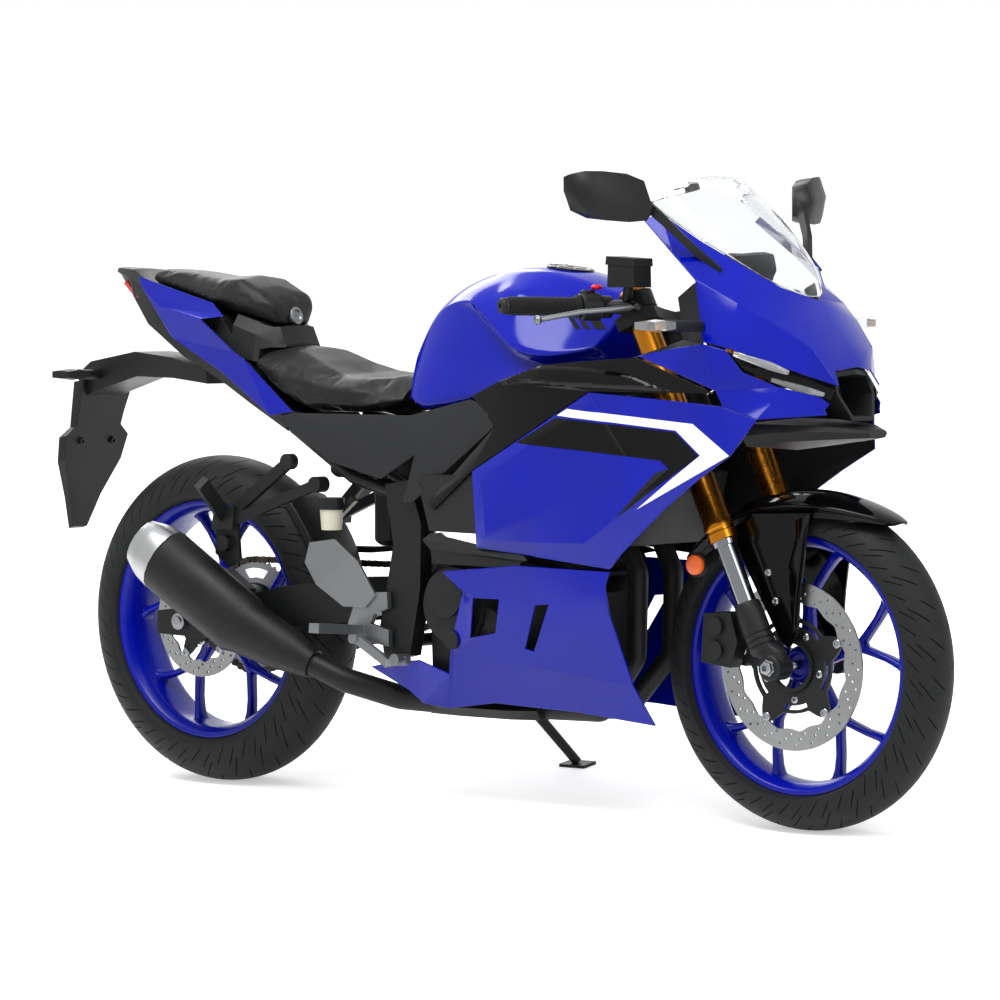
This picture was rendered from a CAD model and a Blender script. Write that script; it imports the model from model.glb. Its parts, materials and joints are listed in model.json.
import json
import math

import bmesh
import bpy
from bpy.props import FloatProperty, FloatVectorProperty, IntProperty, PointerProperty
from mathutils import Matrix, Vector
from mathutils.bvhtree import BVHTree
from mathutils.geometry import delaunay_2d_cdt


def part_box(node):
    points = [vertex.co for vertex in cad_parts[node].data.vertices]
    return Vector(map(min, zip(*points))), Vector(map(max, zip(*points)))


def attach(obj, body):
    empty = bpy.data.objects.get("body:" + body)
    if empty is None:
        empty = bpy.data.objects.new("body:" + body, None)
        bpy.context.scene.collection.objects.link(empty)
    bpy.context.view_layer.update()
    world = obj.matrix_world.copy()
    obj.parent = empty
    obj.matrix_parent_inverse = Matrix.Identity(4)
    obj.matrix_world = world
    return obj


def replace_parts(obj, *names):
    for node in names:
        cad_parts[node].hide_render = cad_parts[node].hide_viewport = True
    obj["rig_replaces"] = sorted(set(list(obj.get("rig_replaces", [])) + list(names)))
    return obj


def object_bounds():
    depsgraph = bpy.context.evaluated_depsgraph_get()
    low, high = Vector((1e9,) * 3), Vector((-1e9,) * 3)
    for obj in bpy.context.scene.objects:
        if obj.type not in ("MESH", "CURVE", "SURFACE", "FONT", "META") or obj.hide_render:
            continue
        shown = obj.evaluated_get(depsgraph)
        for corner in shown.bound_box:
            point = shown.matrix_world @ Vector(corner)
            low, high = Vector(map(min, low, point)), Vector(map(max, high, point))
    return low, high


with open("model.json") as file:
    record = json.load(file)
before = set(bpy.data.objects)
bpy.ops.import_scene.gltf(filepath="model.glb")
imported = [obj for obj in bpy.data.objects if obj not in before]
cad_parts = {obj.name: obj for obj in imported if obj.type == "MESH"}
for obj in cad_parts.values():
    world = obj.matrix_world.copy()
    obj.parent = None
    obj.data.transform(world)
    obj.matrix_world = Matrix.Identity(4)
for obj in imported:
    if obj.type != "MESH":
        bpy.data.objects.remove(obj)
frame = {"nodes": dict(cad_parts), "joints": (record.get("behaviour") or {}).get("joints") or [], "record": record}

bl_info = {
    "name": "Sport bike on its side stand",
    "version": (1, 0, 0),
    "blender": (4, 5, 0),
    "location": "View3D > Sidebar > Sport bike",
    "description": "Dresses the construction model of a small faired motorcycle",
    "category": "Add Mesh",
}

CAD_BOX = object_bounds()
MM = 0.001
JOINTS = {joint["name"]: joint for joint in frame["joints"]}
RIGHT, LEFT = -1, 1


def wheel_radius(node):
    low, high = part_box(node)
    return (high.x - low.x) / 2 / MM


# The bike is described upright in millimetres: X forward from the rear axle, Y to the rider's left,
# Z up from the ground. PARK takes that to the leaning bike's place, in metres.
REAR_HUB_AT = Vector(JOINTS["rear_wheel_spin"]["pos_m"])
FRONT_HUB_AT = Vector(JOINTS["front_wheel_spin"]["pos_m"])
AXLE = Vector(JOINTS["rear_wheel_spin"]["axis"])
LEAN = math.atan2(-AXLE.z, AXLE.y)
REAR_R, FRONT_R = wheel_radius("rear_tyre"), wheel_radius("front_tyre")
WHEELBASE = (FRONT_HUB_AT.x - REAR_HUB_AT.x) / MM
STANDING = Matrix.Translation(REAR_HUB_AT) @ Matrix.Rotation(-LEAN, 4, "X") @ Matrix.Translation((0, 0, -REAR_R * MM))
PARK = STANDING @ Matrix.Scale(MM, 4)

HEAD = Vector(JOINTS["steering"]["axis"])
RAKE = math.atan2(-HEAD.x, math.hypot(HEAD.y, HEAD.z))
TRAIL = 95.0
FORK_AHEAD, FORK_SPREAD = 28.0, 103.0
FORK_JOIN_Z, FORK_TOP_Z = 508, 946


def fork_point(z, w):
    """A point on the middle line of a fork leg, at height z."""
    return (WHEELBASE + TRAIL - z * math.tan(RAKE) + FORK_AHEAD / math.cos(RAKE), w, z)


# Colours and materials

def colour(code, alpha=1.0):
    """An sRGB hex colour as Blender's linear values."""
    parts = [int(code[i:i + 2], 16) / 255 for i in (0, 2, 4)]
    return [p / 12.92 if p <= 0.04045 else ((p + 0.055) / 1.055) ** 2.4 for p in parts] + [alpha]


def add(tree, kind, sockets=None, **settings):
    """Adds one shader node: its settings, then its sockets, each a value or another node's output."""
    made = tree.nodes.new("ShaderNode" + kind)
    for name, value in settings.items():
        setattr(made, name, value)
    for name, value in (sockets or {}).items():
        if isinstance(value, bpy.types.NodeSocket):
            tree.links.new(value, made.inputs[name])
        else:
            made.inputs[name].default_value = value
    return made


def surface(name, tones, rough, grain_mm, relief_mm, pattern="TexNoise", edge_mm=0.8, stretch=(1, 1, 1), **shader):
    """A material: two tones that drift, a roughness that drifts, a fine relief and slightly rounded edges.

    grain_mm is the spacing of the relief and relief_mm its height, on the real thing.
    """
    material = bpy.data.materials.new(name)
    material.use_nodes = True
    tree = material.node_tree
    tree.nodes.clear()
    place = add(tree, "TexCoord").outputs["Object"]
    drift = add(tree, "TexNoise", {"Vector": place, "Scale": 9.0, "Detail": 3.0}).outputs["Fac"]
    tone = add(tree, "Mix", {"Factor": drift, "A": colour(tones[0]), "B": colour(tones[1])}, data_type="RGBA")
    gloss = add(tree, "MapRange", {"Value": drift, "From Min": 0.3, "From Max": 0.7, "To Min": rough[0],
                                   "To Max": rough[1]})
    scaled = add(tree, "VectorMath", {0: place, 1: stretch}, operation="MULTIPLY").outputs["Vector"]
    relief = add(tree, pattern, {"Vector": scaled, "Scale": 1 / (grain_mm * MM)})
    height = relief.outputs["Fac" if pattern == "TexNoise" else "Distance"]
    rounded = add(tree, "Bevel", {"Radius": edge_mm * MM}, samples=4).outputs["Normal"]
    bump = add(tree, "Bump", {"Height": height, "Distance": relief_mm * MM, "Strength": 0.6, "Normal": rounded})
    values = {"Base Color": tone.outputs["Result"], "Roughness": gloss.outputs["Result"],
              "Normal": bump.outputs["Normal"], "Specular IOR Level": 0.22}
    values.update({key.replace("_", " ").title().replace("Ior", "IOR"): value for key, value in shader.items()})
    shader_node = add(tree, "BsdfPrincipled", values)
    output = add(tree, "OutputMaterial", {"Surface": shader_node.outputs["BSDF"]})
    output.location = (300, 0)
    return material


def blue_lacquer():
    """Acrylic lacquer under clear coat: deep blue that goes nearly black away from the light."""
    return surface("blue_lacquer", settings().paint, (0.1, 0.14), 9.0, 0.01, edge_mm=2.6, specular_ior_level=0.24)


def blue_powder_coat():
    """Powder coat on the cast wheels: the same blue with a thicker, softer gloss."""
    return surface("blue_powder_coat", ("000C84", "000E92"), (0.2, 0.28), 3.0, 0.02, edge_mm=1.6,
                   specular_ior_level=0.24)


def black_lacquer():
    """Glossy black moulded ABS: a mirror-like skin over near black."""
    return surface("black_lacquer", ("040405", "060607"), (0.08, 0.12), 9.0, 0.01, edge_mm=2.0,
                   specular_ior_level=0.16)


def black_plastic():
    """Moulded polypropylene with a fine spark finish: dark, with a soft sheen."""
    return surface("black_plastic", ("0E0F10", "131415"), (0.42, 0.52), 0.9, 0.05, edge_mm=1.2)


def grained_plastic():
    """Polypropylene moulded with a coarse grain, drawn at 1.6 mm so that it shows: matte dark grey."""
    return surface("grained_plastic", ("18191B", "1E1F21"), (0.5, 0.62), 1.6, 0.16, pattern="TexVoronoi", edge_mm=2.4)


def frame_paint():
    """Satin powder coat on steel tube: black with a faint orange peel."""
    return surface("frame_paint", ("0D0E0F", "121314"), (0.34, 0.44), 2.2, 0.04, edge_mm=1.6)


def cast_black():
    """Aluminium casting painted satin black: sand texture under thin paint."""
    return surface("cast_black", ("0F1011", "161718"), (0.4, 0.54), 1.4, 0.1, edge_mm=1.6)


def tyre_rubber():
    """Vulcanised rubber: matte charcoal with a fine mould skin."""
    return surface("tyre_rubber", ("111213", "171819"), (0.56, 0.68), 1.1, 0.06, edge_mm=0.5, specular_ior_level=0.2)


def soft_rubber():
    """Moulded grip rubber: black and dull."""
    return surface("soft_rubber", ("0A0B0B", "0F1010"), (0.6, 0.7), 0.8, 0.06, edge_mm=0.5)


def vinyl():
    """Seat cover of calendered vinyl with a fine leather grain at 1.3 mm."""
    return surface("vinyl", ("0D0E0F", "131415"), (0.44, 0.54), 1.3, 0.1, pattern="TexVoronoi", edge_mm=0.4)


def gold_anodising():
    """Anodised aluminium fork tube: warm gold metal, drawn lengthwise."""
    return surface("gold_anodising", ("A8691A", "B47522"), (0.22, 0.3), 1.2, 0.002, stretch=(1, 1, 0.06),
                   metallic=1.0)


def hard_chrome():
    """Hard chrome on the fork's sliders: a near mirror."""
    return surface("hard_chrome", ("74787C", "84888C"), (0.06, 0.1), 6.0, 0.001, metallic=1.0)


def ground_steel():
    """Stainless brake disc, ground in rings: pale grey metal."""
    return surface("ground_steel", ("808181", "929393"), (0.3, 0.4), 0.7, 0.01, metallic=1.0, edge_mm=0.4)


def brushed_steel():
    """Stainless sheet brushed lengthwise: bright silver with fine lines."""
    return surface("brushed_steel", ("9A9B9C", "B0B1B2"), (0.28, 0.36), 0.6, 0.01, stretch=(0.08, 1, 1), metallic=1.0)


def bead_blasted_alloy():
    """Die-cast aluminium, bead blasted and clear coated: even satin silver."""
    return surface("bead_blasted_alloy", ("6E7072", "7E8082"), (0.36, 0.44), 0.9, 0.03, metallic=0.9, edge_mm=1.4)


def zinc_bolt():
    """Zinc-plated steel screws: small bright heads."""
    return surface("zinc_bolt", ("84868A", "9A9CA0"), (0.22, 0.3), 2.0, 0.005, metallic=1.0, edge_mm=0.6)


def oiled_chain():
    """Oiled chain steel: dark straw-coloured metal."""
    return surface("oiled_chain", ("3A362E", "524C40"), (0.3, 0.42), 2.0, 0.02, metallic=1.0, edge_mm=0.5)


def heat_paint():
    """High-temperature paint on the exhaust: matte black, slightly sooty."""
    return surface("heat_paint", ("0C0C0C", "131312"), (0.42, 0.55), 1.0, 0.04, edge_mm=1.4)


def spring_enamel():
    """Enamelled spring steel: glossy yellow."""
    return surface("spring_enamel", ("C48A12", "D29A1E"), (0.28, 0.34), 4.0, 0.01, coat_weight=0.4)


def white_film():
    """Cast vinyl film under clear coat: plain white."""
    return surface("white_film", ("F2F3F4", "F7F7F7"), (0.3, 0.36), 9.0, 0.01, coat_weight=0.4, coat_roughness=0.05)


def black_film():
    """Cast vinyl film under clear coat: plain black."""
    return surface("black_film", ("020203", "040405"), (0.2, 0.26), 9.0, 0.01, specular_ior_level=0.14)


def clear_screen():
    """Clear polycarbonate sheet, faintly grey. The real IOR is 1.58; 1.3 bends less of what is behind it."""
    return surface("clear_screen", ("EEF1F3", "F2F4F5"), (0.01, 0.02), 20.0, 0.002, edge_mm=0.3,
                   transmission_weight=1.0, ior=1.3)


def clear_lens():
    """Clear moulded lens with shallow flutes."""
    return surface("clear_lens", ("E6EAEC", "F0F2F4"), (0.03, 0.06), 4.0, 0.2, edge_mm=0.3,
                   transmission_weight=0.85, ior=1.45)


def red_lens():
    """Red PMMA lens with small prisms."""
    return surface("red_lens", ("B00808", "C8100E"), (0.08, 0.14), 3.0, 0.3, pattern="TexVoronoi", coat_weight=0.6)


def amber_lens():
    """Amber reflex lens with prisms that sparkle."""
    return surface("amber_lens", ("D8480A", "F0701C"), (0.1, 0.16), 3.0, 0.5, pattern="TexVoronoi", coat_weight=0.6)


def red_switch():
    """Red moulded nylon."""
    return surface("red_switch", ("C01410", "CC1C14"), (0.34, 0.4), 1.0, 0.02)


def milky_cup():
    """Natural polypropylene of a fluid reservoir: translucent cream."""
    return surface("milky_cup", ("B9B7A6", "C6C4B4"), (0.3, 0.38), 2.0, 0.02, subsurface_weight=0.2)


def dark_cavity():
    """Unlit inside of an opening: dull black."""
    return surface("dark_cavity", ("060606", "080808"), (0.7, 0.8), 3.0, 0.05)


MADE = {}


def finish(maker):
    """The material of a maker function, made once."""
    if maker.__name__ not in MADE:
        MADE[maker.__name__] = maker()
    return MADE[maker.__name__]


# Shapes

class Form:
    """Collects shapes, given in the upright bike's millimetres, into one piece."""

    def __init__(self):
        self.points = []
        self.faces = []
        self.finishes = []

    def add(self, points, faces, slot=0):
        start = len(self.points)
        self.points += [Vector(p) for p in points]
        self.faces += [[start + i for i in face] for face in faces]
        self.finishes += [slot] * len(faces)

    def loft(self, loops, slot=0, ends=True, ring=False):
        """A skin over closed loops of equal length; ring joins the last loop to the first."""
        count, rows = len(loops[0]), len(loops)
        faces = []
        for i in range(rows if ring else rows - 1):
            a, b = i * count, ((i + 1) % rows) * count
            faces += [(a + j, a + (j + 1) % count, b + (j + 1) % count, b + j) for j in range(count)]
        if ends and not ring:
            faces += [tuple(reversed(range(count))), tuple(range((rows - 1) * count, rows * count))]
        self.add([p for loop in loops for p in loop], faces, slot)

    def turned(self, start, end, profile, slot=0, count=40, spin=0.0):
        """A round shape from start towards end; profile is [(distance along in mm, radius)]."""
        a = Vector(start)
        way = (Vector(end) - a).normalized()
        across = way.orthogonal().normalized()
        up = way.cross(across)
        turns = [spin + 2 * math.pi * k / count for k in range(count)]
        self.loft([[a + way * t + (across * math.cos(q) + up * math.sin(q)) * r for q in turns] for t,
                   r in profile], slot)

    def rod(self, start, end, r, slot=0, count=24, soft=1.0):
        """A round bar with softened ends."""
        length = (Vector(end) - Vector(start)).length
        soft = min(soft, r * 0.5, length * 0.3)
        self.turned(start, end, [(0, r - soft), (soft * 0.4, r - soft * 0.3), (soft, r), (length - soft, r),
                                 (length - soft * 0.4, r - soft * 0.3), (length, r - soft)], slot, count)

    def path(self, points, r, slot=0, count=10, steps=5):
        """A round tube on a smooth line through the points."""
        line = smooth_line(points, steps)
        loops = []
        across = (line[1] - line[0]).orthogonal().normalized()
        for i, p in enumerate(line):
            way = (line[min(i + 1, len(line) - 1)] - line[max(i - 1, 0)]).normalized()
            across = (across - way * across.dot(way)).normalized()
            up = way.cross(across)
            turns = [2 * math.pi * k / count for k in range(count)]
            loops.append([p + (across * math.cos(a) + up * math.sin(a)) * r for a in turns])
        self.loft(loops, slot)

    def block(self, low, high, slot=0, soft=2.0):
        """A box with chamfered edges between two corners."""
        (x0, y0, z0), (x1, y1, z1) = low, high
        s = min(soft, (x1 - x0) / 3, (y1 - y0) / 3, (z1 - z0) / 3)
        loops = []
        for z, inset in ((z0, s), (z0 + s, 0), (z1 - s, 0), (z1, s)):
            loops.append([(x0 + s + inset * 0.6, y0 + inset, z), (x1 - s - inset * 0.6, y0 + inset, z),
                          (x1 - inset, y0 + s + inset * 0.6, z), (x1 - inset, y1 - s - inset * 0.6, z),
                          (x1 - s - inset * 0.6, y1 - inset, z), (x0 + s + inset * 0.6, y1 - inset, z),
                          (x0 + inset, y1 - s - inset * 0.6, z), (x0 + inset, y0 + s + inset * 0.6, z)])
        self.loft(loops, slot)

    def plate(self, outline, w_in, w_out, slot=0, holes=(), place=None):
        """A flat plate across the bike, outline [(x, z)], with holes as more outlines."""
        loops = [list(outline)] + [list(hole) for hole in holes]
        flat, edges = [], []
        for loop in loops:
            start = len(flat)
            flat += [Vector(p) for p in loop]
            edges += [(start + i, start + (i + 1) % len(loop)) for i in range(len(loop))]
        points, _, triangles, *_ = delaunay_2d_cdt(flat, edges, [], 1, 1e-4)
        if holes:
            middles = [sum((points[i] for i in t), Vector((0, 0))) / 3 for t in triangles]
            triangles = [t for t, m in zip(triangles, middles) if not any(inside(m.x, m.y, hole) for hole in holes)]
        place = place or (lambda x, w, z: (x, w, z))
        count = len(points)
        solid = [place(p.x, w_in, p.y) for p in points] + [place(p.x, w_out, p.y) for p in points]
        faces = [tuple(t) for t in triangles] + [tuple(count + i for i in reversed(t)) for t in triangles]
        start = 0
        for loop in loops:
            n = len(loop)
            faces += [(start + i, start + (i + 1) % n, count + start + (i + 1) % n,
                       count + start + i) for i in range(n)]
            start += n
        self.add(solid, faces, slot)

    def dome_bolt(self, at, way, r=6.0, slot=0):
        """A button-head screw with a hexagon socket, standing on a surface."""
        a, d = Vector(at), Vector(way).normalized()
        self.turned(a - d * 2, a + d, [(0, r), (2.6, r), (3.8, r * 0.86), (4.6, r * 0.6), (4.7, r * 0.44),
                                       (2.6, r * 0.4)],
                    slot, 18)

    def mirrored(self):
        """The same shapes on the bike's other side too."""
        count = len(self.points)
        self.points += [Vector((p.x, -p.y, p.z)) for p in self.points]
        self.faces += [[count + i for i in reversed(face)] for face in self.faces]
        self.finishes += list(self.finishes)
        return self

    def put(self, name, body, makers, nodes=(), slot=None, sharp=32.0, levels=0, soft_mm=0.0, creases=None):
        """Makes the piece in its place on its body."""
        mesh = bpy.data.meshes.new(name)
        mesh.from_pydata([PARK @ p for p in self.points], [], self.faces)
        mesh.polygons.foreach_set("material_index", self.finishes)
        return mesh_piece(mesh, name, body, makers, nodes, sharp, levels, soft_mm, creases)


def mesh_piece(mesh, name, body, makers, nodes=(), sharp=32.0, levels=0, soft_mm=0.0, creases=None):
    """Turns a mesh in the frame's metres into a finished piece on its body."""
    bm = bmesh.new()
    bm.from_mesh(mesh)
    bmesh.ops.recalc_face_normals(bm, faces=bm.faces)
    if creases:
        layer = bm.edges.layers.float.new("crease_edge")
        for edge in bm.edges:
            if len(edge.link_faces) == 2 and edge.calc_face_angle(0) > math.radians(creases[0]):
                edge[layer] = creases[1]
    bm.to_mesh(mesh)
    bm.free()
    for maker in makers:
        mesh.materials.append(finish(maker))
    mesh.shade_smooth()
    if not levels:
        mesh.set_sharp_from_angle(angle=math.radians(sharp))
    piece = bpy.data.objects.new(name, mesh)
    bpy.context.scene.collection.objects.link(piece)
    if levels:
        rounding = piece.modifiers.new("rounding", "SUBSURF")
        rounding.levels = rounding.render_levels = levels
    if soft_mm:
        edges = piece.modifiers.new("edges", "BEVEL")
        edges.width, edges.segments, edges.limit_method = soft_mm * MM, 2, "ANGLE"
        edges.angle_limit = math.radians(sharp)
        edges.harden_normals = True
    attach(piece, body)
    if nodes:
        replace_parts(piece, *nodes)
    return piece


BODY_OF = {node: body for body, nodes in frame["record"]["behaviour"]["bodies"].items() for node in nodes}


def dressed(node, makers, name=None, zone=None, sharp=24.0, flat_deg=1.0, edge_mm=1.6, cuts=()):
    """A cleaned copy of a construction piece that stands for it.

    zone takes a face's middle in the upright bike's millimetres, and how far the face looks away from the
    bike's middle plane (1 straight out, -1 straight in), and gives the index of its material.
    """
    bm = bmesh.new()
    bm.from_mesh(frame["nodes"][node].data)
    bmesh.ops.remove_doubles(bm, verts=bm.verts, dist=2e-5)
    if flat_deg:
        bmesh.ops.dissolve_limit(bm, angle_limit=math.radians(flat_deg), verts=bm.verts, edges=bm.edges)
    for outline in cuts:
        cut_upright(bm, outline)
    upright = PARK.inverted()
    for face in bm.faces if zone else []:
        spot = upright @ face.calc_center_median()
        out = (upright.to_3x3() @ face.normal).normalized().y * (1 if spot.y > 0 else -1)
        face.material_index = zone(spot, out)
    mesh = bpy.data.meshes.new(name or node)
    bm.to_mesh(mesh)
    bm.free()
    return mesh_piece(mesh, name or "skin_" + node, BODY_OF[node], makers, (node,), sharp=sharp, soft_mm=edge_mm)


def cut_upright(bm, outline):
    """Cuts a mesh along the upright walls that stand on an outline (x, z), so that its area can be painted."""
    across = PARK.to_3x3() @ Vector((0, 1, 0))
    for (x0, z0), (x1, z1) in zip(outline, outline[1:] + outline[:1]):
        a, b = PARK @ Vector((x0, 0, z0)), PARK @ Vector((x1, 0, z1))
        bmesh.ops.bisect_plane(bm, geom=bm.verts[:] + bm.edges[:] + bm.faces[:], dist=1e-6, plane_co=a,
                               plane_no=(b - a).cross(across).normalized())


def inside(x, z, outline):
    """Whether a point lies in an outline."""
    odd = False
    for (x0, z0), (x1, z1) in zip(outline, outline[1:] + outline[:1]):
        if (z0 > z) != (z1 > z) and x < (x1 - x0) * (z - z0) / (z1 - z0) + x0:
            odd = not odd
    return odd


def smooth_line(points, steps):
    """Points of a smooth line through the given ones."""
    ps = [Vector(p) for p in points]
    padded = [ps[0] * 2 - ps[1]] + ps + [ps[-1] * 2 - ps[-2]]
    line = []
    for a, b, c, d in zip(padded, padded[1:], padded[2:], padded[3:]):
        for k in range(steps):
            t = k / steps
            bend, twist = 2 * a - 5 * b + 4 * c - d, 3 * b - a - 3 * c + d
            line.append(0.5 * (2 * b + (c - a) * t + bend * t * t + twist * t ** 3))
    return line + [ps[-1]]


def circle(r, count, x=0.0, z=0.0, start=0.0):
    turns = [start + 2 * math.pi * k / count for k in range(count)]
    return [(x + r * math.cos(a), z + r * math.sin(a)) for a in turns]


def halves(stations):
    """Loops of a symmetric shape from (x, [(w, z), ...]) stations, top middle first."""
    loops = []
    for x, half in stations:
        right = [(x, -w, z) for w, z in half]
        left = [(x, w, z) for w, z in reversed(half) if w > 0]
        loops.append(right + left)
    return loops


def rounded(wide, tall, count=3, share=0.45):
    """A rounded rectangle's points round the middle, as (across, up)."""
    r = min(wide, tall) * share
    points = []
    for quarter in range(4):
        cx = (wide / 2 - r) * (1, -1, -1, 1)[quarter]
        cz = (tall / 2 - r) * (1, 1, -1, -1)[quarter]
        for k in range(count + 1):
            a = math.pi / 2 * (quarter + k / count)
            points.append((cx + r * math.cos(a), cz + r * math.sin(a)))
    return points


def bar_loops(line, sections):
    """Loops of a bar with a rounded-rectangle section, (across the bike, other way) at each point."""
    line = [Vector(p) for p in line]
    loops = []
    for i, p in enumerate(line):
        way = (line[min(i + 1, len(line) - 1)] - line[max(i - 1, 0)]).normalized()
        side = Vector((0, 1, 0))
        side = (side - way * side.dot(way)).normalized()
        other = way.cross(side)
        wide, tall = sections[i]
        loops.append([p + side * u + other * v for u, v in rounded(wide, tall)])
    return loops


# What a user would change

class BikeSettings(bpy.types.PropertyGroup):
    paint_light: FloatVectorProperty(name="Paint, lit", description="Blue of the bodywork where it drifts light",
                                     subtype="COLOR", default=colour("00109A")[:3], min=0, max=1)
    paint_deep: FloatVectorProperty(name="Paint, deep", description="Blue of the bodywork where it drifts dark",
                                    subtype="COLOR", default=colour("000C84")[:3], min=0, max=1)
    tread_repeats: IntProperty(name="Tread repeats", description="Groups of grooves round each tyre", default=26,
                               min=8, max=60)
    tread_depth: FloatProperty(name="Tread depth", description="Depth of the tyre's grooves", default=3.2 * MM,
                               min=0.5 * MM, max=6 * MM, unit="LENGTH")
    seat_swell: FloatProperty(name="Seat swell", description="How far a point of a seat may swell in the simulation",
                              default=7 * MM, min=0, max=20 * MM, unit="LENGTH")

    @property
    def paint(self):
        return (to_code(self.paint_light), to_code(self.paint_deep))


def to_code(linear):
    """Linear values back to an sRGB hex code."""
    parts = [12.92 * p if p <= 0.0031308 else 1.055 * p ** (1 / 2.4) - 0.055 for p in linear]
    return "".join(f"{round(255 * min(max(p, 0), 1)):02X}" for p in parts)


def settings():
    return bpy.context.scene.sport_bike


# Wheels

TYRE_GROOVES = [  # phase in a repeat, side, first and last degrees from the crown
    (0.00, RIGHT, 30, 62), (0.50, RIGHT, 10, 34), (0.26, RIGHT, 62, 84), (0.76, RIGHT, 56, 80),
    (0.50, LEFT, 30, 62), (0.00, LEFT, 10, 34), (0.76, LEFT, 62, 84), (0.26, LEFT, 56, 80),
]
GROOVE_PHASES = (0.0, 0.26, 0.50, 0.76)
GROOVE_WIDE_MM = 3.2
GROOVE_SLANT = 1.24  # repeats that a mesh line runs ahead between the crown and the wall
TYRE_BENDS = (0, 5, 8, 10, 12, 17, 23, 28, 30, 32, 34, 40, 46, 52, 56, 58, 60, 62, 64, 70, 76, 80, 82, 84, 90)


def tyre(name, node, body, x, radius, crown, lip, rim_r):
    """Round-section tyre. Its mesh lines slant with the grooves, so each groove is cut clean."""
    repeats, depth = settings().tread_repeats, settings().tread_depth / MM
    period = 2 * math.pi * radius / repeats
    columns = []
    for phase in GROOVE_PHASES:
        half = GROOVE_WIDE_MM / 2 / period
        columns += [(phase - half, phase, 0), (phase - half * 0.55, phase, 1), (phase + half * 0.55, phase, 1),
                    (phase + half, phase, 0), (phase + 0.085, phase, 0), (phase + 0.17, phase, 0)]
    bends = sorted({s * d for d in TYRE_BENDS for s in (-1, 1)})
    centre = radius - crown
    section = [(centre + crown * math.cos(math.radians(b)), crown * math.sin(math.radians(b)), b) for b in bends]
    for s in (1, -1):
        wall = [(centre - 3.0, s * (crown - 0.3), None), (rim_r + 4, s * (lip + 7), None),
                (rim_r + 1.6, s * (lip + 3.4), None),
                (rim_r + 0.7, s * (lip - 1), None), (rim_r - 8, s * (lip - 9), None)]
        section = section + wall if s > 0 else wall[::-1] + section
    form = Form()
    loops = []
    for repeat in range(repeats):
        for phase, groove, deep in columns:
            loop = []
            for r, y, bend in section:
                slant = GROOVE_SLANT if bend is None else GROOVE_SLANT * (abs(bend) / 90) ** 1.3
                cut = 0.0
                if deep and bend is not None:
                    for at, side, low, high in TYRE_GROOVES:
                        if at == groove and bend * side >= 0 and low <= abs(bend) <= high:
                            cut = depth * (0.4 if abs(bend) in (low, high) else 1.0)
                turn = 2 * math.pi * (repeat + phase + slant) / repeats
                if cut:
                    k = cut / crown
                    r, y = r + (centre - r) * k, y * (1 - k)
                loop.append((x + r * math.cos(turn), y, radius + r * math.sin(turn)))
            loops.append(loop)
    form.loft(loops, ring=True)
    return form.put(name, body, [tyre_rubber], (node,), sharp=40)


def rim(name, node, body, x, radius, lip, hub_half, hub_r, rim_r):
    """Cast wheel of five arms that fork to ten spokes."""
    form = Form()
    wall = [(rim_r - 0.5, lip - 0.6), (rim_r - 2, lip), (rim_r - 8, lip - 0.3), (rim_r - 11, lip - 2.5),
            (rim_r - 14, lip - 8),
            (rim_r - 19, lip - 14), (rim_r - 22, lip - 24), (rim_r - 23.5, 0)]
    inside = wall + [(r, -y) for r, y in reversed(wall[:-1])]
    outside = [(rim_r - 0.2, -lip + 4), (rim_r - 14, -lip + 11), (rim_r - 14, lip - 11), (rim_r - 0.2, lip - 4)]
    turns = [2 * math.pi * k / 120 for k in range(120)]
    form.loft([[(x + r * math.cos(a), y, radius + r * math.sin(a)) for r, y in inside + outside] for a in turns],
              ring=True)
    hub = [(hub_half, hub_r - 12), (hub_half, hub_r - 9), (hub_half - 3, hub_r - 6), (hub_half - 8, hub_r - 2),
           (hub_half - 14, hub_r),
           (12, hub_r + 3), (0, hub_r + 4)]
    hub = [(hub_half - 8, hub_r - 16)] + hub + [(-y, r) for y, r in reversed(hub[:-1])] + [(8 - hub_half, hub_r - 16)]
    form.turned((x, 0, radius), (x, 1, radius), hub, 0, 60)

    def at(r, turn):
        return (x + r * math.cos(turn), 0.0, radius + r * math.sin(turn))

    for arm in range(5):
        a = math.radians(90 + 72 * arm)
        form.loft(bar_loops([at(r, a) for r in (hub_r - 8, hub_r + 2, hub_r + 14, 92, 112, 126)],
                            [(44, 36), (40, 32), (33, 25), (27, 21), (26, 24), (24, 26)]))
        for spread in (-1, 1):
            stretch = [(108, 0.9), (122, 3.0), (140, 7.2), (170, 12.2), (194, 15.9), (206, 17.6), (212, 18.4)]
            line = [at(r, a + spread * math.radians(d)) for r, d in stretch]
            form.loft(bar_loops(line, [(24, 15), (24, 15), (23, 13), (23, 12.5), (25, 14), (30, 19), (36, 28)]))
    return form.put(name, body, [blue_powder_coat], (node,), sharp=38)


FIRST_ARM = 24  # degrees from straight ahead to a disc carrier's first arm


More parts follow.
